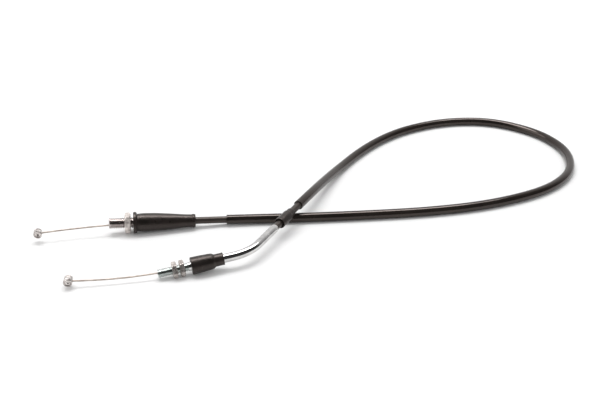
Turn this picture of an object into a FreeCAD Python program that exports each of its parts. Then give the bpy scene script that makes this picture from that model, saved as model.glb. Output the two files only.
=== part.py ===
"""A motorcycle throttle cable, laid out in an open loop on a flat surface.

End A goes to the twist grip: a swivelling M8 ferrule with a lock nut and a long rubber boot.
End B goes to the carburettor: a bent M6 guide pipe with two thin nuts, a boot and a dust cap.
An inner wire with a barrel nipple at each end runs through the whole length.

Millimetres. The surface is z = 0. The origin is under the middle of the two end fittings.
+X runs along the axis of end A, from its free end into the cable. +Z is up.
"""

import math
import os

import FreeCAD
import Part

Vec = FreeCAD.Vector
ALONG_X = Vec(1, 0, 0)

# ---- wire and nipples ----
WIRE_R = 0.6
NIPPLE_R = 3.0
NIPPLE_A_LENGTH = 5.0
NIPPLE_B_LENGTH = 6.0
NIPPLE_FACE_RECESS_R = 2.1
NIPPLE_FACE_RECESS = 0.35
NIPPLE_DIMPLE_R = 0.9
NIPPLE_DIMPLE = 0.6
NIPPLE_EDGE = 0.35
SOLDER_R = 1.5
SOLDER_DEPTH = 1.2

# ---- conduit, from the inside out, and its outer sleeve (outer and inner radius) ----
LINER = (1.45, 1.1)
COIL = (2.0, 1.5)
JACKET = (2.5, 2.05)
SLEEVE = (3.5, 2.75)

# ---- end A: distances along its axis from the mouth of the ferrule ----
A_MOUTH = Vec(-39.9, 31.2, 8.65)
A_TILT = 3.0
FERRULE_R = 4.0
FERRULE_LENGTH = 53.2
FERRULE_BORE_R = 3.0
FERRULE_THROAT_R = 1.9
SOCKET_START = 42.0
SOCKET_R = 3.25
SOCKET_LIP = 0.8
CONDUIT_START = 43.0
LOCK_NUT_A_START = 11.2
FREE_THREAD_A = 10.4
LOCK_NUT_A = (13.0, 4.0)
BOOT_A_START = 17.2
SLEEVE_START = 84.2
SLEEVE_LENGTH = 692.8
FIRST_BEND = 91.0

# ---- end B: distances along its axis from the threaded tip of the guide pipe ----
B_TIP = Vec(-7.1, -34.4, 4.1)
B_AZIMUTH = 6.8
B_RISE = 5.5
PIPE_R = 3.0
PIPE_BORE_R = 1.9
PIPE_CORNER = 62.85
PIPE_BEND_R = 28.0
PIPE_FAR_LEG = 34.8
PIPE_SOCKET = 12.0
PIPE_SOCKET_R = 2.55
LINER_SETBACK = 14.0
NUT_B = (10.0, 3.2)
NUT_B_STARTS = {"nut_b_outer": 9.7, "nut_b_inner": 14.7}
FREE_THREAD_B = 9.0
BOOT_B_START = 22.5
CAP_GAP = 6.6

# Threads are plain cylinders of their full size. One root is cut in front of the nut on each,
# where the free end of the thread stops.
ROOT_WIDTH = 0.6
ROOT_DEPTH = 0.3

# ---- fits ----
THREAD_FIT = 0.05
BOOT_FIT = 0.1
NECK_R = 2.85

# ---- free wires: arcs that leave the axis of each end inside its bore ----
# (distance inside the mouth where the arc starts, radius, roll of the arc about the axis, free length)
WIRE_A = (48.0, 867.0, 230.0, 49.4)
WIRE_B = (20.3, 331.0, 43.0, 57.5)
CORE_GAP = 0.3

# Route of the conduit after its first bend: along the surface, round the loop, up and over itself,
# and down into the guide pipe. Each point is a corner that the conduit rounds off.
ROUTE = [
    Vec(104, 26, 3.5),
    Vec(157, 22, 3.5),
    Vec(197, 20.5, 3.5),
    Vec(238, 23, 3.5),
    Vec(276, 31.5, 3.5),
    Vec(304, 45, 3.5),
    Vec(326.5, 66, 3.5),
    Vec(338, 92, 3.5),
    Vec(340, 115.5, 3.5),
    Vec(331.5, 149.5, 3.5),
    Vec(299.5, 176.5, 3.5),
    Vec(261, 183.5, 3.5),
    Vec(224, 174.5, 3.5),
    Vec(195, 158, 3.5),
    Vec(168, 133.5, 3.5),
    Vec(145, 106, 3.5),
    Vec(127.5, 78.5, 7.5),
    Vec(107.5, 43.3, 13.1),
    Vec(87.1, 15.8, 12.2),
]
BEND_SHARE = 0.45

os.makedirs("parts", exist_ok=True)


# ---- frames of the two ends: local +X runs from the mouth into the cable ----
END_A = FreeCAD.Placement(A_MOUTH, FreeCAD.Rotation(0, A_TILT, 0))
END_B = FreeCAD.Placement(B_TIP, FreeCAD.Rotation(B_AZIMUTH, -B_RISE, 0))


def at(frame, distance):
    """The point on a frame's axis, this far along it."""
    return frame.multVec(Vec(distance, 0, 0))


def along(frame):
    return frame.Rotation.multVec(ALONG_X)


PIPE_CORNER_AT = at(END_B, PIPE_CORNER)
FAR_LEG = (ROUTE[-1] - PIPE_CORNER_AT).normalize()
FAR_END = FreeCAD.Placement(
    PIPE_CORNER_AT + FAR_LEG * PIPE_FAR_LEG,
    FreeCAD.Rotation(ALONG_X, FAR_LEG),
)


# ---- shapes ----
def turned(outline, frame=None):
    """A solid of revolution about local X, from a closed outline of (distance, radius) points."""
    points = [Vec(x, r, 0) for x, r in outline]
    face = Part.Face(Part.makePolygon(points + points[:1]))
    solid = face.revolve(Vec(0, 0, 0), ALONG_X, 360)
    if frame:
        solid.Placement = frame
    return solid


def root_groove(start, radius):
    """The outline of one thread root in a cylinder."""
    end = start + ROOT_WIDTH
    return [
        (start, radius),
        (start + 0.15, radius - ROOT_DEPTH),
        (end - 0.15, radius - ROOT_DEPTH),
        (end, radius),
    ]


def disc(centre, normal, radius, bore=0.0):
    """A flat round face, or a ring when it has a bore."""
    face = Part.Face(Part.Wire(Part.makeCircle(radius, centre, normal)))
    if bore:
        face = face.cut(Part.Face(Part.Wire(Part.makeCircle(bore, centre, normal)))).Faces[0]
    return face


def tube(edges, radii):
    """A round tube (outer radius, inner radius) or wire (radius,) along a path of tangent edges."""
    first = edges[0]
    normal = first.tangentAt(first.FirstParameter)
    profile = disc(first.valueAt(first.FirstParameter), normal, *radii)
    solid = Part.Wire(edges).makePipe(profile)
    if solid.Volume < 0:
        solid.reverse()
    return solid


def corner(before, point, after, radius):
    """Where an arc of this radius leaves and joins the two runs at a corner, and its middle."""
    back = (before - point).normalize()
    on = (after - point).normalize()
    turn = math.pi - back.getAngle(on)
    reach = radius * math.tan(turn / 2)
    middle = point + (back + on).normalize() * (radius / math.cos(turn / 2) - radius)
    return point + back * reach, middle, point + on * reach


def bend_radii(points):
    """The largest radius that each corner's two runs allow."""
    radii = []
    for before, point, after in zip(points, points[1:], points[2:]):
        turn = math.pi - (before - point).getAngle(after - point)
        run = min((point - before).Length, (after - point).Length)
        radii.append(BEND_SHARE * run / math.tan(turn / 2))
    return radii


def rounded(points, radii):
    """Straight runs joined by one tangent arc at each inner point."""
    edges = []
    start = points[0]
    for before, point, after, radius in zip(points, points[1:], points[2:], radii):
        leave, middle, join = corner(before, point, after, radius)
        edges.append(Part.LineSegment(start, leave).toShape())
        edges.append(Part.Arc(leave, middle, join).toShape())
        start = join
    edges.append(Part.LineSegment(start, points[-1]).toShape())
    return edges


def stretch(edges, start, end):
    """The part of a path between two distances along it."""
    kept = []
    passed = 0.0
    for edge in edges:
        low = max(start - passed, 0.0)
        high = min(end - passed, edge.Length)
        if high - low > 1e-6:
            a = edge.getParameterByLength(low)
            b = edge.getParameterByLength(high)
            kept.append(edge.Curve.toShape(a, b))
        passed += edge.Length
    return kept


def total(edges):
    return sum(edge.Length for edge in edges)


def hex_nut(size, start, bore, frame):
    """A chamfered hexagon nut with two flats level, bored to a plain cylinder."""
    flats, thickness = size
    corner_r = flats / math.sqrt(3)
    corners = [
        Vec(0, corner_r * math.cos(math.radians(60 * i)), corner_r * math.sin(math.radians(60 * i)))
        for i in range(6)
    ]
    prism = Part.Face(Part.makePolygon(corners + corners[:1])).extrude(Vec(thickness, 0, 0))
    face_r = flats / 2 * 0.97
    drop = (corner_r - face_r) * math.tan(math.radians(30))
    lathe = turned(
        [
            (0, 0),
            (0, face_r),
            (drop, corner_r),
            (thickness - drop, corner_r),
            (thickness, face_r),
            (thickness, 0),
        ]
    )
    sink = 0.35
    hole = turned(
        [
            (0, 0),
            (0, bore + sink),
            (sink, bore),
            (thickness - sink, bore),
            (thickness, bore + sink),
            (thickness, 0),
        ]
    )
    nut = prism.common(lathe).cut(hole)
    nut.Placement = frame.multiply(FreeCAD.Placement(Vec(start, 0, 0), FreeCAD.Rotation()))
    return nut


def barrel_nipple(length, centre, wire_way):
    """A barrel lying across its wire. wire_way points from its centre along the wire."""
    half = length / 2
    half_outline = [
        (half - NIPPLE_FACE_RECESS - NIPPLE_DIMPLE, 0),
        (half - NIPPLE_FACE_RECESS, NIPPLE_DIMPLE_R),
        (half - NIPPLE_FACE_RECESS, NIPPLE_FACE_RECESS_R - NIPPLE_FACE_RECESS),
        (half, NIPPLE_FACE_RECESS_R),
        (half, NIPPLE_R - NIPPLE_EDGE),
        (half - NIPPLE_EDGE, NIPPLE_R),
    ]
    barrel = turned(half_outline + [(-x, r) for x, r in reversed(half_outline)])
    across = Vec(0, 0, 1).cross(wire_way).normalize()
    frame = FreeCAD.Placement(centre, FreeCAD.Rotation(across, wire_way.cross(across), wire_way, "XZY"))
    barrel.Placement = frame
    hole = Part.makeCylinder(WIRE_R + THREAD_FIT, 2 * NIPPLE_R, centre - wire_way * NIPPLE_R, wire_way)
    funnel = Part.makeCone(
        SOLDER_R + 0.4,
        WIRE_R + THREAD_FIT,
        SOLDER_DEPTH + 0.4,
        centre - wire_way * (NIPPLE_R + 0.4),
        wire_way,
    )
    return barrel.cut(hole).cut(funnel)


def solder_plug(centre, wire_way):
    """Solder that fills the funnel behind the wire and ends flush with the barrel."""
    clear = THREAD_FIT
    cone = Part.makeCone(
        SOLDER_R + 0.4 - clear,
        WIRE_R,
        SOLDER_DEPTH + 0.4,
        centre - wire_way * (NIPPLE_R + 0.4),
        wire_way,
    )
    across = Vec(0, 0, 1).cross(wire_way).normalize()
    round_off = Part.makeCylinder(NIPPLE_R, 4 * SOLDER_R, centre - across * 2 * SOLDER_R, across)
    return cone.common(round_off)


def free_wire(spec, frame):
    """The arc of a free wire: its edge from the bore to the nipple, and the nipple's centre and wire way."""
    depth, radius, roll, free = spec
    out = along(frame) * -1
    side = out.cross(Vec(0, 0, 1)).normalize()
    up = side.cross(out)
    toward = side * math.cos(math.radians(roll)) + up * math.sin(math.radians(roll))
    start = at(frame, depth)

    def point(travelled):
        angle = travelled / radius
        return start + out * (radius * math.sin(angle)) + toward * (radius * (1 - math.cos(angle)))

    length = depth + free
    angle = length / radius
    arrive = out * math.cos(angle) + toward * math.sin(angle)
    behind = NIPPLE_R - SOLDER_DEPTH
    edge = Part.Arc(point(0), point((length + behind) / 2), point(length + behind)).toShape()
    centre = point(length)
    pivot = start + toward * radius
    axis = out.cross(toward)
    return edge, centre, arrive * -1, pivot, axis


def save(name, shape):
    solids = shape.Solids
    assert len(solids) == 1 and solids[0].isValid(), name
    solids[0].exportStep(f"parts/{name}.step")
    box = solids[0].optimalBoundingBox()
    print(f"{name}: {solids[0].Volume:.1f} mm3, x {box.XMin:.1f}..{box.XMax:.1f},"
          f" y {box.YMin:.1f}..{box.YMax:.1f}, z {box.ZMin:.2f}..{box.ZMax:.2f}")
    return solids[0]


# ---- the route of the conduit, from inside the ferrule to inside the guide pipe ----
route_points = [at(END_A, CONDUIT_START), at(END_A, FIRST_BEND)]
route_points += ROUTE
route_points += [at(FAR_END, -PIPE_SOCKET)]
radii = bend_radii(route_points)
conduit_path = rounded(route_points, radii)
conduit_length = total(conduit_path)
print("bend radii:", ", ".join(f"{r:.0f}" for r in radii))
print(f"conduit {conduit_length:.1f} mm")

# The centreline of the guide pipe, from inside its far end back to its tip.
pipe_bend = corner(FAR_END.Base, PIPE_CORNER_AT, B_TIP, PIPE_BEND_R)
pipe_path = [
    Part.LineSegment(route_points[-1], pipe_bend[0]).toShape(),
    Part.Arc(*pipe_bend).toShape(),
    Part.LineSegment(pipe_bend[2], B_TIP).toShape(),
]
whole_path = conduit_path + pipe_path

# ---- conduit: liner, steel coil and jacket, with an outer sleeve over the loop ----
liner_path = stretch(whole_path, 0, total(whole_path) - LINER_SETBACK)
save("conduit_liner", tube(liner_path, LINER))
save("conduit_coil", tube(conduit_path, COIL))
jacket = save("conduit_jacket", tube(conduit_path, JACKET))
section = math.pi * (JACKET[0] ** 2 - JACKET[1] ** 2)
print(f"jacket volume / (section x length) = {jacket.Volume / (section * conduit_length):.4f}")

# The sleeve ends just before the cable passes over its own lower stretch.
sleeve_start = SLEEVE_START - CONDUIT_START
save("outer_sleeve", tube(stretch(conduit_path, sleeve_start, sleeve_start + SLEEVE_LENGTH), SLEEVE))

# ---- inner wire: one free arc at each end, and the stretch hidden in the conduit ----
ends = {"a": (WIRE_A, END_A, NIPPLE_A_LENGTH), "b": (WIRE_B, END_B, NIPPLE_B_LENGTH)}
for letter, (spec, frame, length) in ends.items():
    edge, centre, wire_way, pivot, axis = free_wire(spec, frame)
    save(f"wire_{letter}", tube([edge], (WIRE_R,)))
    save(f"nipple_{letter}", barrel_nipple(length, centre, wire_way))
    save(f"solder_{letter}", solder_plug(centre, wire_way))
    print(f"wire_{letter}: pivot {tuple(pivot)}, axis {tuple(axis)}, nipple {tuple(centre)}")

core_start = WIRE_A[0] - CONDUIT_START + CORE_GAP
core_end = total(whole_path) - WIRE_B[0] - CORE_GAP
save("inner_wire_core", tube(stretch(whole_path, core_start, core_end), (WIRE_R,)))
print(f"inner wire {core_end - core_start + WIRE_A[0] + WIRE_A[3] + WIRE_B[0] + WIRE_B[3]:.0f} mm")

# ---- end A ----
ferrule = [
    (0, FERRULE_BORE_R),
    (0, FERRULE_R - 0.5),
    (0.5, FERRULE_R),
    *root_groove(FREE_THREAD_A, FERRULE_R),
    (FERRULE_LENGTH - 0.6, FERRULE_R),
    (FERRULE_LENGTH, FERRULE_R - 0.6),
    (FERRULE_LENGTH, JACKET[0] + BOOT_FIT),
    (FERRULE_LENGTH - SOCKET_LIP, JACKET[0] + BOOT_FIT),
    (FERRULE_LENGTH - SOCKET_LIP, SOCKET_R),
    (SOCKET_START, SOCKET_R),
    (SOCKET_START, FERRULE_THROAT_R),
    (30, FERRULE_THROAT_R),
    (26, FERRULE_BORE_R),
]
save("ferrule_a", turned(ferrule, END_A))

# A crimped cap on the end of the conduit turns in the ferrule's socket.
cap_front = SOCKET_START + 0.3
cap_rear = FERRULE_LENGTH - SOCKET_LIP - 0.3
conduit_cap = [
    (cap_front, WIRE_R + 0.5),
    (cap_front, SOCKET_R - BOOT_FIT),
    (cap_rear, SOCKET_R - BOOT_FIT),
    (cap_rear, JACKET[0] + THREAD_FIT),
    (CONDUIT_START, JACKET[0] + THREAD_FIT),
    (CONDUIT_START, WIRE_R + 0.5),
]
save("conduit_cap_a", turned(conduit_cap, END_A))
save("lock_nut_a", hex_nut(LOCK_NUT_A, LOCK_NUT_A_START, FERRULE_R + THREAD_FIT, END_A))

# Boot A: a thick lip at the front, a long taper and a small bead at the back.
boot_a = [
    (0, FERRULE_R + BOOT_FIT),
    (0, 7.3),
    (0.4, 7.7),
    (1.9, 7.7),
    (2.4, 7.2),
    (2.8, 6.75),
    (8.2, 6.65),
    (14.8, 6.5),
    (20.3, 6.2),
    (31.7, 5.25),
    (41.6, 4.6),
    (42.2, 4.9),
    (43.9, 4.9),
    (44.4, 4.5),
    (44.4, NECK_R),
    (38.0, NECK_R),
    (37.0, FERRULE_R + BOOT_FIT),
]
save("boot_a", turned([(BOOT_A_START + x, r) for x, r in boot_a], END_A))

# ---- end B ----
near_leg = PIPE_CORNER - (pipe_bend[2] - PIPE_CORNER_AT).Length
far_leg = PIPE_FAR_LEG - (pipe_bend[0] - PIPE_CORNER_AT).Length
threaded_leg = turned(
    [
        (0, PIPE_BORE_R + 0.3),
        (0, PIPE_R - 0.5),
        (0.5, PIPE_R),
        *root_groove(FREE_THREAD_B, PIPE_R),
        (near_leg, PIPE_R),
        (near_leg, PIPE_BORE_R),
        (0.3, PIPE_BORE_R),
    ],
    END_B,
)
socket_leg = turned(
    [
        (-far_leg, PIPE_BORE_R),
        (-far_leg, PIPE_R),
        (-0.8, PIPE_R),
        (-0.3, PIPE_R - 0.1),
        (0, PIPE_R - 0.35),
        (0, PIPE_SOCKET_R),
        (-PIPE_SOCKET, PIPE_SOCKET_R),
        (-PIPE_SOCKET, PIPE_BORE_R),
    ],
    FAR_END,
)
bent = tube([pipe_path[1]], (PIPE_R, PIPE_BORE_R))
save("guide_pipe", threaded_leg.fuse([bent, socket_leg]).removeSplitter())

for name, start in NUT_B_STARTS.items():
    save(name, hex_nut(NUT_B, start, PIPE_R + THREAD_FIT, END_B))

# Boot B: a barrel with a shoulder and a thin neck that flares slightly at its end.
boot_b = [
    (0, PIPE_R + BOOT_FIT),
    (0, 5.5),
    (0.4, 5.9),
    (14.6, 5.3),
    (15.3, 4.8),
    (15.8, 4.2),
    (21.0, 4.2),
    (22.0, 4.4),
    (22.0, PIPE_R + BOOT_FIT),
]
save("boot_b", turned([(BOOT_B_START + x, r) for x, r in boot_b], END_B))

# The dust cap waits on the bare conduit, its open end towards the pipe that it covers.
dust_cap = [
    (0, 3.3),
    (0, 3.8),
    (0.2, 4.0),
    (12.4, 3.9),
    (13.2, 3.3),
    (17.3, 3.2),
    (17.6, 3.0),
    (17.6, NECK_R),
    (13.6, NECK_R),
    (12.4, 3.3),
]
save("dust_cap", turned([(CAP_GAP + x, r) for x, r in dust_cap], FAR_END))

for label, frame in (("A", END_A), ("B", END_B), ("far end of pipe", FAR_END)):
    print(f"{label}: {tuple(frame.Base)} along {tuple(along(frame))}")
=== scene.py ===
import math

import bmesh
import bpy
from mathutils import Euler, Matrix, Vector


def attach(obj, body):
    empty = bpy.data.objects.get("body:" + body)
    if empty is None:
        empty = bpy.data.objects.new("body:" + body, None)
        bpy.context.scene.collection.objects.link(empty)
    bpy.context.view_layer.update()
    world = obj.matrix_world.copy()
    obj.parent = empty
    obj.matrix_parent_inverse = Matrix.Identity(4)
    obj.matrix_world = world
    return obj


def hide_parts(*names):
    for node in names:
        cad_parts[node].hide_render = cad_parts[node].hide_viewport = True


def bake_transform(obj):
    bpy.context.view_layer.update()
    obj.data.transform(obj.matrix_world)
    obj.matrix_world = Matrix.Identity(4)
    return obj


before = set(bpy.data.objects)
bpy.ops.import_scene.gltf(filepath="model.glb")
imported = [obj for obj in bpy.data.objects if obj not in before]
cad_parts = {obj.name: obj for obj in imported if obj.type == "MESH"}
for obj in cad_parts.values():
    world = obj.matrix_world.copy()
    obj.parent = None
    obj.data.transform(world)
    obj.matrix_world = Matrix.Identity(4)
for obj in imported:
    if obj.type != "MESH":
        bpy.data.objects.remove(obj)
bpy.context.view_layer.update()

MM = 0.001


# ---- dimensions, as in the CAD source, in millimetres ----
WIRE_R = 0.6
NIPPLE_R = 3.0
SOLDER_DEPTH = 1.2
LINER = (1.45, 1.1)
COIL = (2.0, 1.5)
JACKET = (2.5, 2.05)
SLEEVE = (3.5, 2.75)

A_MOUTH = (-39.9, 31.2, 8.65)
A_TILT = 3.0
FERRULE_R = 4.0
FERRULE_LENGTH = 53.2
FERRULE_BORE_R = 3.0
FERRULE_THROAT_R = 1.9
FERRULE_PITCH = 1.25
FERRULE_THREAD_END = 27.0
SOCKET_START = 42.0
SOCKET_R = 3.25
SOCKET_LIP = 0.8
CONDUIT_START = 43.0
LOCK_NUT_A_START = 11.2
LOCK_NUT_A = (13.0, 4.0)
BOOT_A_START = 17.2
BOOT_A_LENGTH = 44.4
SLEEVE_START = 84.2
SLEEVE_LENGTH = 692.8
FIRST_BEND = 91.0
# The spline's own corner, six diameters out of the socket: the cable is straight through boot A's travel.
HELD_STRAIGHT = 73.0

B_TIP = (-7.1, -34.4, 4.1)
B_AZIMUTH = 6.8
B_RISE = 5.5
PIPE_R = 3.0
PIPE_BORE_R = 1.9
PIPE_PITCH = 1.0
PIPE_THREAD_END = 21.0
PIPE_CORNER = 62.85
PIPE_BEND_R = 28.0
PIPE_FAR_LEG = 34.8
PIPE_SOCKET = 12.0
PIPE_SOCKET_R = 2.55
LINER_SETBACK = 14.0
NUT_B = (10.0, 3.2)
NUT_B_STARTS = {"nut_b_outer": 9.7, "nut_b_inner": 14.7}
BOOT_B_START = 22.5
CAP_GAP = 6.6

# Fits. Boot A and the dust cap close round the conduit at NECK_R.
THREAD_FIT = 0.05
BOOT_FIT = 0.1
NECK_R = 2.85
CORE_GAP = 0.3

# Distance inside the mouth where each free wire's arc starts, its radius, roll and free length.
WIRE_A = (48.0, 867.0, 230.0, 49.4)
WIRE_B = (20.3, 331.0, 43.0, 57.5)

# ---- dimensions that only this model has, in millimetres ----
# The free wires' strands, and how far each wire runs back past the point where it starts to move.
WIRE_LAY = 10.0
WIRE_STRANDS = 7
WIRE_STEP = 0.6
WIRE_OVERRUN = 1.0

# A full thread starts this far from its end. Its depth is a share of its pitch.
THREAD_START = 0.6
THREAD_DEPTH = 0.61
RINGS_PER_TURN = 12

# How far a nut's bore is sunk, and its chamfered face and worn corners as shares of a sharp hexagon.
NUT_SINK = 0.35
NUT_FACE = 0.97
NUT_CORNER = 0.985

# The ferrule's nose (distance, depth under its full radius), its tail's chamfer, and where its bore
# narrows. The rim of the guide pipe is rounded by PIPE_RIM.
FERRULE_NOSE = ((0.0, 0.75), (0.15, 0.55))
FERRULE_TAIL = 0.6
FERRULE_THROAT = (26.0, 30.0)
PIPE_RIM = 0.5

# Where each wire starts to move inside its bore, and where it moves with its nipple.
SLIDE_A = (73.0, 2.0)
SLIDE_B = (30.0, -15.0)

# The conduit's corners after its first bend. Those round the far end of the loop stand about 2 mm
# or less from the CAD's, so that the spline keeps closer to the line of the real cable.
ROUTE = [
    (104, 26, 3.5),
    (157, 22, 3.5),
    (197, 20.5, 3.5),
    (238, 23, 3.5),
    (277, 32.5, 3.5),
    (304.5, 45.5, 3.5),
    (326, 65.5, 3.5),
    (338, 91.5, 3.5),
    (340, 117, 3.5),
    (330, 148, 3.5),
    (300, 177, 3.5),
    (261, 183.5, 3.5),
    (224, 174.5, 3.5),
    (195, 158, 3.5),
    (168, 133.5, 3.5),
    (145, 106, 3.5),
    (127.5, 78.5, 7.5),
    (107.5, 43.3, 13.1),
    (87.1, 15.8, 12.2),
]
SPLINE_STEPS = 14

# Radiance of the surroundings: the fill that matt surfaces see, and the room that shiny ones see.
FILL = 0.80
ROOM_FRONT = 0.05
ROOM_BACK = 0.95

CAMERA_AT = (0.006, -0.534, 0.32024)
CAMERA_PITCH = 28.0
CAMERA_TURN = -9.3
CAMERA_LENS = 53.04


# ---- frames of the two ends: local +X runs from the mouth into the cable ----
def placed(origin, azimuth, pitch):
    turn = Euler((0, math.radians(pitch), math.radians(azimuth)), "XYZ").to_matrix().to_4x4()
    return Matrix.Translation(Vector(origin) * MM) @ turn


END_A = placed(A_MOUTH, 0, A_TILT)
END_B = placed(B_TIP, B_AZIMUTH, -B_RISE)


def at(end, distance):
    """The point on an end's axis, this many millimetres along it."""
    return end @ Vector((distance * MM, 0, 0))


def along(end):
    return (end.to_3x3() @ Vector((1, 0, 0))).normalized()


PIPE_CORNER_AT = at(END_B, PIPE_CORNER)
FAR_LEG = (Vector(ROUTE[-1]) * MM - PIPE_CORNER_AT).normalized()
FAR_END = Matrix.Translation(PIPE_CORNER_AT + FAR_LEG * PIPE_FAR_LEG * MM) @ (
    Vector((1, 0, 0)).rotation_difference(FAR_LEG).to_matrix().to_4x4()
)


# ---- camera ----
def make_camera():
    data = bpy.data.cameras.new("camera")
    data.lens = CAMERA_LENS
    data.sensor_width = 36
    data.clip_start = 0.01
    data.clip_end = 30
    camera = bpy.data.objects.new("camera", data)
    camera.location = CAMERA_AT
    camera.rotation_euler = (math.radians(90 - CAMERA_PITCH), 0, math.radians(CAMERA_TURN))
    bpy.context.scene.collection.objects.link(camera)
    bpy.context.scene.camera = camera


# ---- meshes from rings of points ----
def skin(name, rings, material, closed=False, bands=None):
    """A smooth mesh through rings of equal size. closed joins the last ring to the first.

    Otherwise both ends are capped. bands gives the material index of each gap between rings.
    """
    size = len(rings[0])
    points = [p for ring in rings for p in ring]
    count = len(rings)
    faces = []
    indices = []
    for i in range(count if closed else count - 1):
        a = i * size
        b = (i + 1) % count * size
        for j in range(size):
            k = (j + 1) % size
            faces.append((a + j, a + k, b + k, b + j))
            indices.append(bands(i) if bands else 0)
    if not closed:
        faces.append(tuple(reversed(range(size))))
        faces.append(tuple((count - 1) * size + j for j in range(size)))
        indices += [0, 0]
    mesh = bpy.data.meshes.new(name)
    mesh.from_pydata([tuple(p) for p in points], [], faces)
    for slot in material if isinstance(material, (list, tuple)) else [material]:
        mesh.materials.append(slot)
    mesh.polygons.foreach_set("material_index", indices)
    mesh.polygons.foreach_set("use_smooth", [True] * len(faces))
    mesh.update()
    piece = bpy.data.objects.new(name, mesh)
    bpy.context.scene.collection.objects.link(piece)
    outward(piece)
    return piece


def outward(piece):
    """Turns the faces so that their normals point out of the solid."""
    work = bmesh.new()
    work.from_mesh(piece.data)
    bmesh.ops.recalc_face_normals(work, faces=work.faces)
    work.to_mesh(piece.data)
    work.free()


def softened(outline, rounding, steps=4):
    """A closed outline of (distance, radius) points, with every corner rounded."""
    points = [Vector(p) for p in outline]
    result = []
    for i, corner in enumerate(points):
        before = points[i - 1] - corner
        after = points[(i + 1) % len(points)] - corner
        reach = min(rounding, 0.45 * before.length, 0.45 * after.length)
        start = corner + before.normalized() * reach
        end = corner + after.normalized() * reach
        for step in range(steps + 1):
            t = step / steps
            result.append(start * (1 - t) ** 2 + corner * 2 * t * (1 - t) + end * t * t)
    return [(p.x, p.y) for p in result]


def turned(name, outline, end, material, segments=64, shape=None):
    """A lathe-turned solid about an end's axis. shape(x, r, angle) may change a radius."""
    rings = []
    for x, r in outline:
        ring = []
        for j in range(segments):
            angle = 2 * math.pi * j / segments
            radius = shape(x, r, angle) if shape else r
            local = Vector((x, radius * math.cos(angle), radius * math.sin(angle))) * MM
            ring.append(end @ local)
        rings.append(ring)
    return skin(name, rings, material, closed=True)


def transported(points):
    """A frame (side, up) at each point of a line, with no twist along it."""
    frames = []
    up = Vector((0, 0, 1))
    for i, point in enumerate(points):
        tangent = (points[min(i + 1, len(points) - 1)] - points[max(i - 1, 0)]).normalized()
        side = tangent.cross(up).normalized()
        up = side.cross(tangent).normalized()
        frames.append((side, up))
    return frames


def ring_round(point, axes, radius, segments, twist=0.0):
    """A ring about a point. radius is a number or a function of the angle."""
    side, up = axes
    ring = []
    for j in range(segments):
        angle = 2 * math.pi * j / segments
        reach = (radius(angle) if callable(radius) else radius) * MM
        ring.append(point + (side * math.cos(angle + twist) + up * math.sin(angle + twist)) * reach)
    return ring


def tube(name, points, radii, material, segments=32):
    """A round tube with a wall along a line."""
    axes = transported(points)
    outer, inner = radii
    rings = [ring_round(point, axis, outer, segments) for point, axis in zip(points, axes)]
    rings += [ring_round(point, axis, inner, segments) for point, axis in zip(points[::-1], axes[::-1])]
    return skin(name, rings, material, closed=True)


# ---- the conduit's line ----
def spline_points():
    """The conduit's own line, read from its NURBS spline."""
    corners = [at(END_A, distance) for distance in (CONDUIT_START, HELD_STRAIGHT, FIRST_BEND)]
    corners += [Vector(p) * MM for p in ROUTE]
    corners += [at(FAR_END, -PIPE_SOCKET)]
    data = bpy.data.curves.new("route", "CURVE")
    data.dimensions = "3D"
    data.resolution_u = SPLINE_STEPS
    spline = data.splines.new("NURBS")
    spline.points.add(len(corners) - 1)
    for point, corner in zip(spline.points, corners):
        point.co = (*corner, 1)
    spline.order_u = 3
    spline.use_endpoint_u = True
    route = bpy.data.objects.new("route", data)
    mesh = bpy.data.meshes.new_from_object(route)
    points = [v.co.copy() for v in mesh.vertices]
    bpy.data.objects.remove(route)
    bpy.data.meshes.remove(mesh)
    return points


def travelled(points):
    """How far along a line each of its points is, in metres."""
    distances = [0.0]
    for a, b in zip(points, points[1:]):
        distances.append(distances[-1] + (b - a).length)
    return distances


def portion(points, start, end):
    """The part of a line between two distances along it."""
    distances = travelled(points)

    def point_at(distance):
        for i, reached in enumerate(distances[1:]):
            if reached >= distance:
                share = (distance - distances[i]) / (reached - distances[i])
                return points[i].lerp(points[i + 1], share)
        return points[-1].copy()

    kept = [p for p, d in zip(points, distances) if start + 1e-6 < d < end - 1e-6]
    return [point_at(start)] + kept + [point_at(end)]


def evenly(points, spacing):
    """Points at an even spacing along a line."""
    length = travelled(points)[-1]
    count = max(2, round(length / spacing))
    distances = travelled(points)
    result = []
    i = 0
    for n in range(count + 1):
        wanted = length * n / count
        while i < len(points) - 2 and distances[i + 1] < wanted:
            i += 1
        share = (wanted - distances[i]) / (distances[i + 1] - distances[i])
        result.append(points[i].lerp(points[i + 1], min(share, 1.0)))
    return result


def pipe_line(step):
    """The guide pipe's centreline from its tip to its far end, finely divided in its thread."""
    back = (at(END_B, 0) - PIPE_CORNER_AT).normalized()
    turn = math.pi - back.angle(FAR_LEG)
    reach = PIPE_BEND_R * MM * math.tan(turn / 2)
    bisector = (back + FAR_LEG).normalized()
    centre = PIPE_CORNER_AT + bisector * (PIPE_BEND_R * MM / math.cos(turn / 2))
    leave = PIPE_CORNER_AT + back * reach
    normal = (leave - centre).cross(PIPE_CORNER_AT - centre).normalized()
    near_leg = PIPE_CORNER - reach / MM
    line = []
    distance = 0.0
    while distance < near_leg:
        line.append(at(END_B, distance))
        distance += step if distance < PIPE_THREAD_END + PIPE_PITCH else 2.0
    bends = 24
    for n in range(bends + 1):
        turned_by = Matrix.Rotation(turn * n / bends, 3, normal)
        line.append(centre + turned_by @ (leave - centre))
    legs = 12
    join = line[-1].copy()
    far = at(FAR_END, 0)
    line += [join.lerp(far, n / legs) for n in range(1, legs + 1)]
    return line


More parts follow.
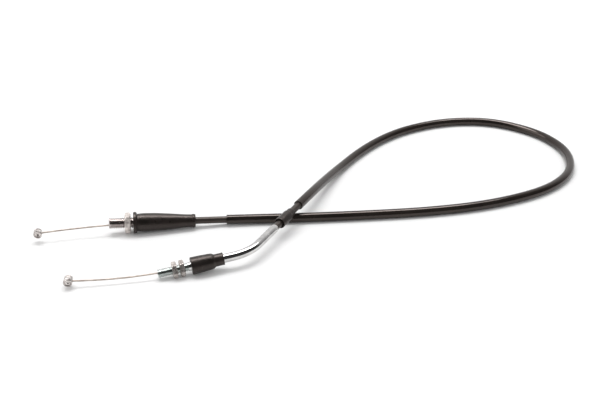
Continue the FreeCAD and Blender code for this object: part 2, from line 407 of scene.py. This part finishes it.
# ---- materials ----
def value_nodes(nodes, links, coordinates, scale, detail, low, high):
    """Noise mapped to a range. Returns the output socket."""
    noise = nodes.new("ShaderNodeTexNoise")
    noise.inputs["Scale"].default_value = scale
    noise.inputs["Detail"].default_value = detail
    links.new(coordinates, noise.inputs["Vector"])
    spread = nodes.new("ShaderNodeMapRange")
    spread.inputs["From Min"].default_value = 0.3
    spread.inputs["From Max"].default_value = 0.7
    spread.inputs["To Min"].default_value = low
    spread.inputs["To Max"].default_value = high
    links.new(noise.outputs["Fac"], spread.inputs["Value"])
    return spread.outputs["Result"]


def surface(name, dark, light, roughness, metallic=0.0, grain=1500, patches=90, bump=0.02,
            bump_depth=0.0001, specular=0.5, tint=(1, 1, 1)):
    """A material with patchy colour and roughness, and a fine grain in its bump.

    dark and light are the ends of its colour, roughness its range, grain and patches are per metre.
    tint colours its reflections.
    """
    material = bpy.data.materials.new(name)
    material.use_nodes = True
    nodes = material.node_tree.nodes
    links = material.node_tree.links
    shader = nodes["Principled BSDF"]
    coordinates = nodes.new("ShaderNodeTexCoord").outputs["Object"]
    shader.inputs["Metallic"].default_value = metallic
    shader.inputs["Specular IOR Level"].default_value = specular
    shader.inputs["Specular Tint"].default_value = (*tint, 1)
    blend = value_nodes(nodes, links, coordinates, patches, 6, 0, 1)
    colour = nodes.new("ShaderNodeMix")
    colour.data_type = "RGBA"
    colour.inputs["A"].default_value = (*dark, 1)
    colour.inputs["B"].default_value = (*light, 1)
    links.new(blend, colour.inputs["Factor"])
    links.new(colour.outputs["Result"], shader.inputs["Base Color"])
    rough = value_nodes(nodes, links, coordinates, patches * 3, 4, *roughness)
    links.new(rough, shader.inputs["Roughness"])
    fine = value_nodes(nodes, links, coordinates, grain, 3, 0, 1)
    relief = nodes.new("ShaderNodeBump")
    relief.inputs["Strength"].default_value = bump
    relief.inputs["Distance"].default_value = bump_depth
    links.new(fine, relief.inputs["Height"])
    links.new(relief.outputs["Normal"], shader.inputs["Normal"])
    return material


def make_materials():
    warm = (1.0, 0.85, 0.79)
    return {
        "sleeve": surface("sleeve_vinyl", (0.010, 0.008, 0.007), (0.018, 0.014, 0.012), (0.06, 0.12),
                          grain=700, patches=60, bump=0.1, tint=warm),
        "jacket": surface("jacket_plastic", (0.020, 0.016, 0.014), (0.034, 0.028, 0.025), (0.3, 0.4),
                          grain=2500, bump=0.15, tint=warm),
        "coil": surface("coil_steel", (0.4, 0.4, 0.41), (0.6, 0.6, 0.61), (0.3, 0.45), metallic=1.0),
        "liner": surface("liner_nylon", (0.7, 0.7, 0.64), (0.85, 0.85, 0.8), (0.35, 0.5)),
        "wire": surface("wire_steel", (0.36, 0.29, 0.25), (0.66, 0.58, 0.52), (0.3, 0.45), metallic=0.7,
                        grain=4000, patches=300, bump=0.15),
        "nipple": surface("nipple_zinc", (0.20, 0.17, 0.16), (0.90, 0.85, 0.82), (0.16, 0.28),
                          metallic=0.95, grain=1400, patches=450, bump=0.6, bump_depth=0.0003),
        "solder": surface("solder_tin", (0.5, 0.49, 0.47), (0.75, 0.74, 0.72), (0.25, 0.4),
                          metallic=1.0, grain=1500, patches=600, bump=0.4),
        "ferrule": surface("ferrule_nickel", (0.37, 0.33, 0.32), (0.56, 0.51, 0.49), (0.16, 0.28),
                           metallic=1.0, grain=3000, patches=250, bump=0.1),
        "cap": surface("cap_steel", (0.45, 0.45, 0.46), (0.62, 0.62, 0.63), (0.25, 0.4), metallic=1.0),
        "lock_nut": surface("lock_nut_zinc", (0.34, 0.30, 0.28), (0.86, 0.79, 0.75), (0.3, 0.45),
                            metallic=0.4, grain=1800, patches=420, bump=0.3),
        "nut": surface("nut_zinc", (0.34, 0.30, 0.28), (0.70, 0.65, 0.62), (0.2, 0.34), metallic=0.8,
                       grain=2200, patches=350, bump=0.2),
        "boot": surface("boot_rubber", (0.006, 0.005, 0.004), (0.016, 0.012, 0.011), (0.26, 0.42),
                        grain=650, patches=140, bump=0.8, specular=0.45, tint=warm),
        "chrome": surface("pipe_chrome", (0.50, 0.49, 0.49), (0.68, 0.67, 0.66), (0.07, 0.16),
                          metallic=1.0, grain=1200, patches=160, bump=0.06),
        "thread": surface("pipe_thread_zinc", (0.42, 0.45, 0.44), (0.66, 0.69, 0.67), (0.16, 0.28),
                          metallic=1.0, grain=3000, patches=300, bump=0.1),
    }


# ---- threads and hexagons ----
def thread_depth(pitch):
    return THREAD_DEPTH * pitch


def threaded(crest, pitch, start, end):
    """The radius of a thread that is full from start to end and runs out past it."""
    def radius(distance, angle):
        phase = (distance / pitch - angle / (2 * math.pi)) % 1.0
        slope = min(max((abs(2 * phase - 1) - 0.12) / 0.66, 0.0), 1.0)
        groove = slope * slope * (3 - 2 * slope)
        fade_in = min(max((distance - start) / (0.6 * pitch), 0.0), 1.0)
        fade_out = min(max((end - distance) / (1.5 * pitch), 0.0), 1.0)
        return crest - thread_depth(pitch) * groove * fade_in * fade_out
    return radius


def hexagon(flats):
    """The reach of a hexagon at an angle, with a level flat on top and slightly rounded corners."""
    def reach(angle):
        off = (angle % math.radians(60)) - math.radians(30)
        sharp = flats / 2 / math.cos(off)
        corner = flats / math.sqrt(3) * NUT_CORNER
        return min(sharp, corner)
    return reach


def make_nut(name, size, start, bore, end, material):
    flats, thickness = size
    reach = hexagon(flats)
    corner_r = flats / math.sqrt(3)
    face_r = flats / 2 * NUT_FACE
    drop = (corner_r - face_r) * math.tan(math.radians(30))
    cone = 8
    rim_r = bore + NUT_SINK
    flat = 4
    outline = [(start + NUT_SINK, bore), (start, rim_r)]
    outline += [(start, rim_r + (face_r - rim_r) * n / flat) for n in range(1, flat + 1)]
    outline += [(start + drop * n / cone, face_r + (corner_r - face_r) * n / cone)
                for n in range(1, cone + 1)]
    outline += [(start + drop + (thickness - 2 * drop) * n / flat, corner_r) for n in range(1, flat)]
    outline += [(start + thickness - drop * n / cone, face_r + (corner_r - face_r) * n / cone)
                for n in range(cone, -1, -1)]
    outline += [(start + thickness, rim_r + (face_r - rim_r) * n / flat)
                for n in range(flat - 1, -1, -1)]
    outline += [(start + thickness - NUT_SINK, bore)]
    piece = turned(name, outline, end, material, segments=120,
                   shape=lambda x, r, angle: min(r, reach(angle)))
    sharpen(piece, 28)
    return piece


def sharpen(piece, degrees):
    """Keeps edges steeper than this crisp."""
    piece.data.set_sharp_from_angle(angle=math.radians(degrees))


# ---- the pieces ----
def make_ferrule(materials):
    cut = threaded(FERRULE_R, FERRULE_PITCH, THREAD_START, FERRULE_THREAD_END)
    steps = round(FERRULE_THREAD_END / FERRULE_PITCH * RINGS_PER_TURN)
    run = FERRULE_THREAD_END - THREAD_START
    lip_r = JACKET[0] + BOOT_FIT
    lip_start = FERRULE_LENGTH - SOCKET_LIP
    outline = [(0.0, FERRULE_BORE_R)]
    outline += [(x, FERRULE_R - drop) for x, drop in FERRULE_NOSE]
    outline += [(THREAD_START + run * n / steps, FERRULE_R) for n in range(steps + 1)]
    outline += [(FERRULE_LENGTH - FERRULE_TAIL, FERRULE_R), (FERRULE_LENGTH, FERRULE_R - FERRULE_TAIL)]
    outline += [(FERRULE_LENGTH, lip_r), (lip_start, lip_r)]
    outline += [(lip_start, SOCKET_R), (SOCKET_START, SOCKET_R), (SOCKET_START, FERRULE_THROAT_R)]
    outline += [(FERRULE_THROAT[1], FERRULE_THROAT_R), (FERRULE_THROAT[0], FERRULE_BORE_R)]

    def shape(x, r, angle):
        return cut(x, angle) if r == FERRULE_R and x <= FERRULE_THREAD_END else r

    piece = turned("ferrule_threaded", outline, END_A, materials["ferrule"], 72, shape)
    sharpen(piece, 40)
    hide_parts("ferrule_a")
    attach(piece, "ferrule")


def make_nuts(materials):
    lock = make_nut("lock_nut_hex", LOCK_NUT_A, LOCK_NUT_A_START, FERRULE_R + THREAD_FIT, END_A,
                    materials["lock_nut"])
    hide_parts("lock_nut_a")
    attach(lock, "lock_nut")
    for node, start in NUT_B_STARTS.items():
        nut = make_nut(node + "_hex", NUT_B, start, PIPE_R + THREAD_FIT, END_B, materials["nut"])
        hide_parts(node)
        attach(nut, node.replace("nut_b", "nut"))


def make_boots(materials):
    boot_a = [
        (0, FERRULE_R + BOOT_FIT),
        (0, 7.5),
        (0.5, 7.7),
        (1.9, 7.7),
        (2.4, 7.0),
        (2.8, 6.2),
        (5.0, 6.5),
        (8.2, 6.65),
        (14.8, 6.5),
        (20.3, 6.2),
        (26.0, 5.75),
        (31.7, 5.25),
        (37.5, 4.78),
        (41.6, 4.6),
        (42.2, 4.9),
        (43.9, 4.9),
        (BOOT_A_LENGTH, 4.5),
        (BOOT_A_LENGTH, NECK_R),
        (38.0, NECK_R),
        (37.0, FERRULE_R + BOOT_FIT),
    ]
    boot_b = [
        (0, PIPE_R + BOOT_FIT),
        (0, 5.7),
        (0.5, 5.9),
        (7.0, 5.75),
        (12.5, 5.5),
        (14.6, 5.2),
        (15.6, 4.55),
        (16.2, 4.25),
        (21.0, 4.2),
        (22.0, 4.4),
        (22.0, PIPE_R + BOOT_FIT),
    ]
    cap = [
        (0, 3.3),
        (0, 3.85),
        (0.25, 4.0),
        (6.0, 3.98),
        (12.4, 3.9),
        (13.0, 3.4),
        (17.2, 3.25),
        (17.6, 3.0),
        (17.6, NECK_R),
        (13.6, NECK_R),
        (12.4, 3.3),
    ]
    for node, outline, start, end, rounding in (
        ("boot_a", boot_a, BOOT_A_START, END_A, 0.4),
        ("boot_b", boot_b, BOOT_B_START, END_B, 0.45),
        ("dust_cap", cap, CAP_GAP, FAR_END, 0.2),
    ):
        moved = [(start + x, r) for x, r in softened(outline, rounding)]
        piece = turned(node + "_rubber", moved, end, materials["boot"], 72)
        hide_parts(node)
        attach(piece, node)


def make_pipe(materials):
    line = pipe_line(PIPE_PITCH / RINGS_PER_TURN)
    axes = transported(line)
    reached = [d / MM for d in travelled(line)]
    cut = threaded(PIPE_R, PIPE_PITCH, THREAD_START, PIPE_THREAD_END)
    length = reached[-1]
    rings = []
    for point, frame_here, distance in zip(line, axes, reached):
        rim = min(PIPE_RIM, 0.5 * (distance + 0.1), 0.9 * (length - distance + 0.1))
        drop = PIPE_RIM - rim

        def radius(angle, distance=distance, drop=drop):
            return min(cut(distance, angle), PIPE_R - drop)

        rings.append(ring_round(point, frame_here, radius, 56))
    thread_rings = sum(1 for d in reached if d < PIPE_THREAD_END)
    for point, frame_here, distance in reversed(list(zip(line, axes, reached))):
        if PIPE_THREAD_END > distance > 1.0:
            continue
        bore = PIPE_SOCKET_R if distance > length - PIPE_SOCKET else PIPE_BORE_R
        rings.append(ring_round(point, frame_here, bore, 56))
    piece = skin("guide_pipe_bent", rings, [materials["chrome"], materials["thread"]], closed=True,
                 bands=lambda i: 1 if i < thread_rings else 0)
    sharpen(piece, 40)
    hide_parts("guide_pipe")
    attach(piece, "housing")


def arc_line(spec, end, back_to, spacing):
    """A free wire's line, from inside its bore out to its nipple."""
    depth, radius, roll, free = spec
    out = -along(end)
    side = out.cross(Vector((0, 0, 1))).normalized()
    up = side.cross(out)
    toward = side * math.cos(math.radians(roll)) + up * math.sin(math.radians(roll))
    start = at(end, depth)
    line = []
    travel = back_to - depth
    count = round(travel / spacing)
    line += [at(end, back_to - travel * n / count) for n in range(count)]
    length = depth + free + NIPPLE_R - SOLDER_DEPTH
    count = round(length / spacing)
    for n in range(count + 1):
        angle = length * n / count / radius
        line.append(start + (out * math.sin(angle) + toward * (1 - math.cos(angle))) * radius * MM)
    return line


def strand_section(angle):
    """The radius of a ring of touching round strands, at an angle from one strand's centre."""
    pitch = 2 * math.pi / WIRE_STRANDS
    off = (angle + pitch / 2) % pitch - pitch / 2
    strand = WIRE_R * math.sin(pitch / 2) / (1 + math.sin(pitch / 2)) * 1.01
    centre = WIRE_R - strand
    return centre * math.cos(off) + math.sqrt(max(strand**2 - (centre * math.sin(off)) ** 2, 0))


def stranded(name, line, material):
    axes = transported(line)
    rings = []
    for point, axis, distance in zip(line, axes, travelled(line)):
        twist = 2 * math.pi * distance / (WIRE_LAY * MM)
        rings.append(ring_round(point, axis, strand_section, WIRE_STRANDS * 6, twist))
    return skin(name, rings, material)


def make_wires(materials):
    for letter, spec, end, slide in (
        ("a", WIRE_A, END_A, SLIDE_A),
        ("b", WIRE_B, END_B, SLIDE_B),
    ):
        line = arc_line(spec, end, slide[0] + WIRE_OVERRUN, WIRE_STEP)
        wire = stranded(f"wire_{letter}_strands", line, materials["wire"])
        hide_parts(f"wire_{letter}")
        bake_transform(wire)


def make_coil(line, material):
    """The flattened winding inside the jacket, one bead for each turn."""
    turns = evenly(line, 0.001)
    axes = transported(turns)
    rings = []
    for i, (point, axis) in enumerate(zip(turns, axes)):
        rings.append(ring_round(point, axis, COIL[0] - (0.14 if i % 2 else 0), 16))
    for point, axis in reversed(list(zip(turns, axes))):
        rings.append(ring_round(point, axis, COIL[1], 16))
    return skin("conduit_coil_winding", rings, material, closed=True)


def make_conduit(materials):
    line = spline_points()
    pipe = pipe_line(2.0)
    inside = [p for p in reversed(pipe) if (p - line[-1]).dot(FAR_LEG) < -1e-4]
    whole = line + inside

    jacket = tube("conduit_jacket_tube", line, JACKET, materials["jacket"], 40)
    coil = make_coil(line, materials["coil"])
    liner_end = travelled(whole)[-1] - LINER_SETBACK * MM
    liner = tube("conduit_liner_tube", portion(whole, 0, liner_end), LINER, materials["liner"], 16)
    behind = WIRE_OVERRUN + CORE_GAP
    core_start = (SLIDE_A[0] + behind - CONDUIT_START) * MM
    core_end = travelled(whole)[-1] - (SLIDE_B[0] + behind) * MM
    core_line = portion(whole, core_start, core_end)
    core_axes = transported(core_line)
    core = skin("inner_wire_hidden",
                [ring_round(p, axis, WIRE_R, 12) for p, axis in zip(core_line, core_axes)],
                materials["wire"])

    start = (SLEEVE_START - CONDUIT_START) * MM
    sleeve_line = portion(line, start, start + SLEEVE_LENGTH * MM)
    sleeve = tube("outer_sleeve_tube", sleeve_line, SLEEVE, materials["sleeve"], 48)
    sharpen(sleeve, 50)
    sharpen(jacket, 50)

    for piece, node, slot in (
        (jacket, "conduit_jacket", "jacket_plastic"),
        (coil, "conduit_coil", "coil_steel"),
        (liner, "conduit_liner", "liner_nylon"),
        (core, "inner_wire_core", "wire_steel"),
        (sleeve, "outer_sleeve", "sleeve_vinyl"),
    ):
        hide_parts(node)
        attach(piece, "housing")


def finish_cad_nodes(materials):
    """The nodes that keep their CAD shape get their own finish."""
    for node, key in (
        ("nipple_a", "nipple"),
        ("nipple_b", "nipple"),
        ("solder_a", "solder"),
        ("solder_b", "solder"),
        ("conduit_cap_a", "cap"),
    ):
        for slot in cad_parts[node].material_slots:
            slot.material = materials[key]


# ---- the room ----
def make_floor():
    mesh = bpy.data.meshes.new("floor")
    half = 6.0
    drop = -0.0001
    mesh.from_pydata(
        [(-half, -half, drop), (half, -half, drop), (half, half, drop), (-half, half, drop)],
        [],
        [(0, 1, 2, 3)],
    )
    floor = bpy.data.objects.new("floor", mesh)
    bpy.context.scene.collection.objects.link(floor)
    mesh.materials.append(surface("floor_paper", (0.86, 0.86, 0.86), (0.88, 0.88, 0.88), (0.8, 0.9),
                                  patches=2, specular=0.1))


def make_world():
    """Matt surfaces get an even fill. Shiny ones see a dark room in front and a grey backdrop behind."""
    world = bpy.data.worlds.new("studio")
    bpy.context.scene.world = world
    world.use_nodes = True
    nodes = world.node_tree.nodes
    links = world.node_tree.links
    background = nodes["Background"]
    direction = nodes.new("ShaderNodeTexCoord").outputs["Generated"]
    parts = nodes.new("ShaderNodeSeparateXYZ")
    links.new(direction, parts.inputs["Vector"])
    room = nodes.new("ShaderNodeMapRange")
    room.interpolation_type = "SMOOTHSTEP"
    room.inputs["From Min"].default_value = -0.2
    room.inputs["From Max"].default_value = 0.7
    room.inputs["To Min"].default_value = ROOM_FRONT
    room.inputs["To Max"].default_value = ROOM_BACK
    links.new(parts.outputs["Y"], room.inputs["Value"])
    level = nodes.new("ShaderNodeMix")
    level.data_type = "FLOAT"
    level.inputs["B"].default_value = FILL
    links.new(nodes.new("ShaderNodeLightPath").outputs["Is Diffuse Ray"], level.inputs["Factor"])
    links.new(room.outputs["Result"], level.inputs["A"])
    links.new(level.outputs["Result"], background.inputs["Strength"])
    background.inputs["Color"].default_value = (1, 1, 1, 1)


def make_lamp(name, location, size, radiance, matt=True, target=(0.08, 0.05, 0)):
    """A softbox. One that isn't matt shows only in shiny surfaces."""
    data = bpy.data.lights.new(name, "AREA")
    data.shape = "RECTANGLE"
    data.size, data.size_y = size
    data.energy = radiance * math.pi * size[0] * size[1]
    lamp = bpy.data.objects.new(name, data)
    lamp.location = location
    lamp.rotation_euler = (Vector(target) - Vector(location)).to_track_quat("-Z", "Y").to_euler()
    lamp.visible_diffuse = matt
    bpy.context.scene.collection.objects.link(lamp)


make_camera()
bpy.context.scene.view_settings.view_transform = "Standard"
materials = make_materials()
make_conduit(materials)
make_wires(materials)
make_ferrule(materials)
make_nuts(materials)
make_boots(materials)
make_pipe(materials)
finish_cad_nodes(materials)
make_floor()
make_world()
make_lamp("softbox", (0.05, 0.7, 2.4), (2.4, 1.0), 4.8)
make_lamp("highlight", (0.05, 0.72, 2.3), (3.0, 0.9), 5.5, matt=False)
make_lamp("left_panel", (-1.6, 0.3, 0.9), (1.6, 1.4), 1.9, matt=False)
